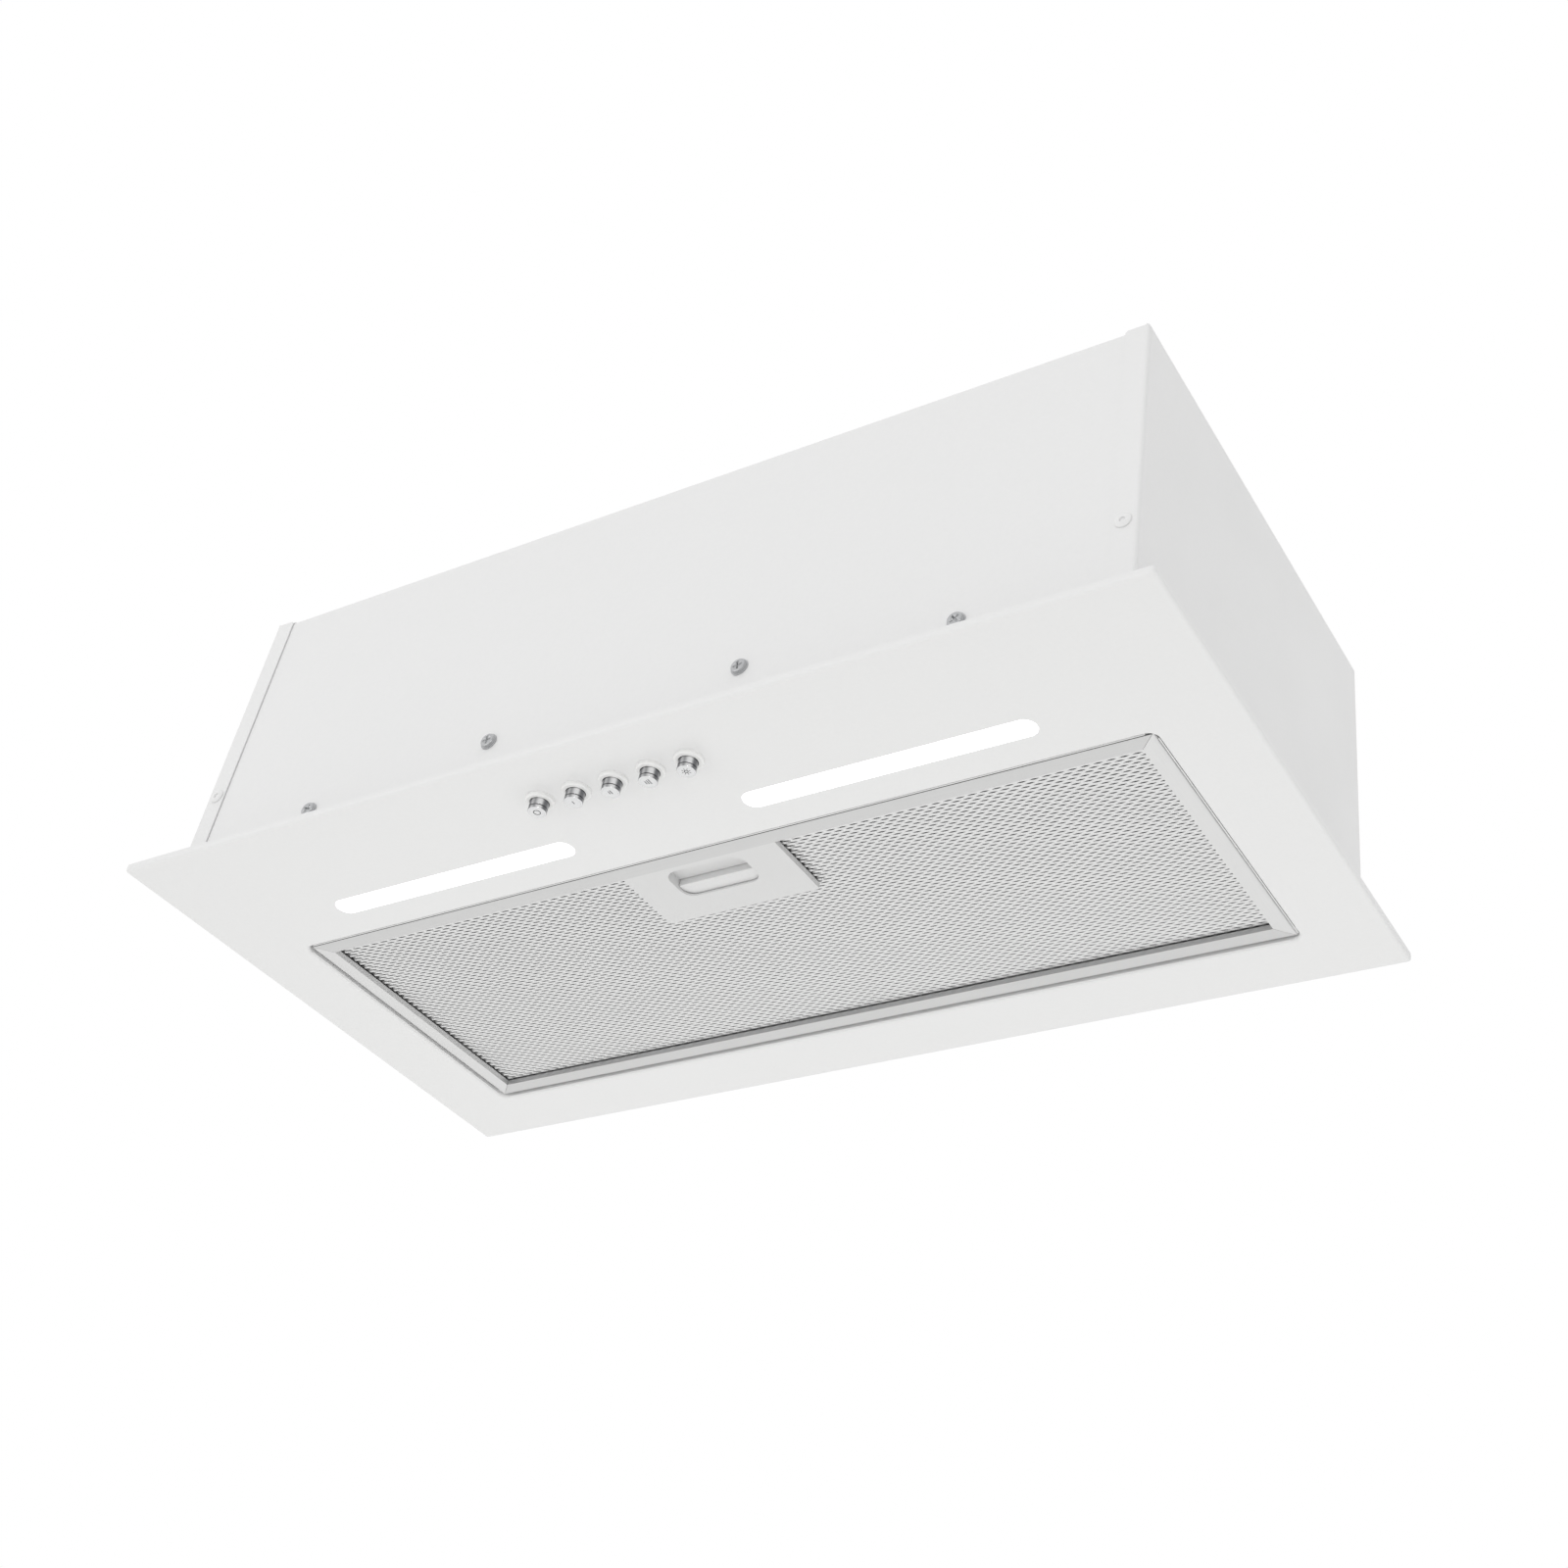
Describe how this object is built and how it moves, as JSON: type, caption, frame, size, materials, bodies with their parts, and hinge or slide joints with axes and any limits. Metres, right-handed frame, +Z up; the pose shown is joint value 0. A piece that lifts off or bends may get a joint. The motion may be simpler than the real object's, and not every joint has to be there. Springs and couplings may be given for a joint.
{
  "type": "under cabinet range hood",
  "caption": "White built-in kitchen extractor hood with a swing-down mesh grease filter, push buttons, two lamp strips and a round duct outlet on top.",
  "frame": {"origin": "centre of the four cabinet fixing holes, on the upper face of the top panel", "axes": "+Z up out of the top panel, -Y towards the front with the buttons, +X to the right seen from the front"},
  "size_m": [0.6, 0.31, 0.2328],
  "materials": {
    "white_enamel": "gloss white powder coat",
    "galvanised": "plain galvanised sheet",
    "zinc_screws": "bright zinc plate",
    "black_plastic": "fine moulded grain",
    "steel": "ground",
    "grey_plastic": "fine moulded grain",
    "motor_metal": "pressed and plated",
    "rubber": "matte",
    "white_plastic": "smooth moulded",
    "circuit_board": "white solder mask",
    "lamp_lens": "opal, lit",
    "button_chrome": "polished plate",
    "filter_aluminium": "satin, folded strip",
    "filter_mesh": "bright expanded mesh",
    "latch_grey": "satin silver grey"
  },
  "bodies": {
    "hood": {"back_panel": "white_enamel", "blower_shell_left": "grey_plastic", "blower_shell_right": "grey_plastic", "bottom_plate": "white_enamel", "button_collars": "white_plastic", "button_spring_1": "steel", "button_spring_2": "steel", "button_spring_3": "steel", "button_spring_4": "steel", "button_spring_5": "steel", "cable_gland": "black_plastic", "collar_screws": "zinc_screws", "damper_pins": "steel", "flange_rivets": "white_enamel", "front_brace": "galvanised", "front_panel": "white_enamel", "front_screws": "zinc_screws", "inlet_ring_left": "grey_plastic", "inlet_ring_right": "grey_plastic", "lamp_board_left": "circuit_board", "lamp_board_right": "circuit_board", "lamp_driver": "white_plastic", "lamp_lens_left": "lamp_lens", "lamp_lens_right": "lamp_lens", "lamp_tray_left": "white_plastic", "lamp_tray_right": "white_plastic", "motor_bearings": "steel", "motor_bracket": "galvanised", "motor_bushes": "rubber", "motor_cap_inner": "motor_metal", "motor_cap_outer": "motor_metal", "motor_screws": "zinc_screws", "motor_stator": "motor_metal", "outlet_collar": "black_plastic", "run_capacitor": "white_plastic", "side_panel_left": "white_enamel", "side_panel_right": "white_enamel", "switch_board": "circuit_board", "switch_housing": "white_plastic", "terminal_box": "grey_plastic", "terminal_lid": "grey_plastic", "top_panel": "galvanised"},
    "filter": {"filter_channel_front": "filter_aluminium", "filter_channel_back": "filter_aluminium", "filter_channel_left": "filter_aluminium", "filter_channel_right": "filter_aluminium", "filter_mesh": "filter_mesh", "latch_plate": "latch_grey", "latch_spring": "steel"},
    "latch": {"latch_slider": "latch_grey"},
    "impeller": {"impeller": "grey_plastic", "motor_shaft": "steel", "motor_rotor": "motor_metal"},
    "damper_left": {"damper_flap_left": "black_plastic"},
    "damper_right": {"damper_flap_right": "black_plastic"},
    "button_1": {"button_1": "button_chrome"},
    "button_2": {"button_2": "button_chrome"},
    "button_3": {"button_3": "button_chrome"},
    "button_4": {"button_4": "button_chrome"},
    "button_5": {"button_5": "button_chrome"}
  },
  "joints": [
    {"name": "button_1_press", "type": "slide", "parent": "hood", "child": "button_1", "axis": [0, 0, 1], "range_m": [0, 0.003], "stiffness_N_per_m": 250, "springref_m": -0.002, "deforming": ["button_spring_1"]},
    {"name": "button_2_press", "type": "slide", "parent": "hood", "child": "button_2", "axis": [0, 0, 1], "range_m": [0, 0.003], "stiffness_N_per_m": 250, "springref_m": -0.002, "deforming": ["button_spring_2"]},
    {"name": "button_3_press", "type": "slide", "parent": "hood", "child": "button_3", "axis": [0, 0, 1], "range_m": [0, 0.003], "stiffness_N_per_m": 250, "springref_m": -0.002, "deforming": ["button_spring_3"]},
    {"name": "button_4_press", "type": "slide", "parent": "hood", "child": "button_4", "axis": [0, 0, 1], "range_m": [0, 0.003], "stiffness_N_per_m": 250, "springref_m": -0.002, "deforming": ["button_spring_4"]},
    {"name": "button_5_press", "type": "slide", "parent": "hood", "child": "button_5", "axis": [0, 0, 1], "range_m": [0, 0.003], "stiffness_N_per_m": 250, "springref_m": -0.002, "deforming": ["button_spring_5"]},
    {"name": "filter_swing", "type": "hinge", "parent": "hood", "child": "filter", "pos_m": [0, 0.1115, -0.1804], "axis": [1, 0, 0], "range_deg": [0, 85]},
    {"name": "latch_slide", "type": "slide", "parent": "filter", "child": "latch", "axis": [0, 1, 0], "range_m": [0, 0.004], "stiffness_N_per_m": 400, "springref_m": -0.002, "deforming": ["latch_spring"]},
    {"name": "impeller_spin", "type": "hinge", "parent": "hood", "child": "impeller", "pos_m": [0, -0.028, -0.074], "axis": [1, 0, 0], "continuous": true},
    {"name": "damper_left_swing", "type": "hinge", "parent": "hood", "child": "damper_left", "pos_m": [-0.005, 0.02, 0.008], "axis": [0, 1, 0], "range_deg": [0, 78]},
    {"name": "damper_right_swing", "type": "hinge", "parent": "hood", "child": "damper_right", "pos_m": [0.005, 0.02, 0.008], "axis": [0, -1, 0], "range_deg": [0, 78]}
  ]
}
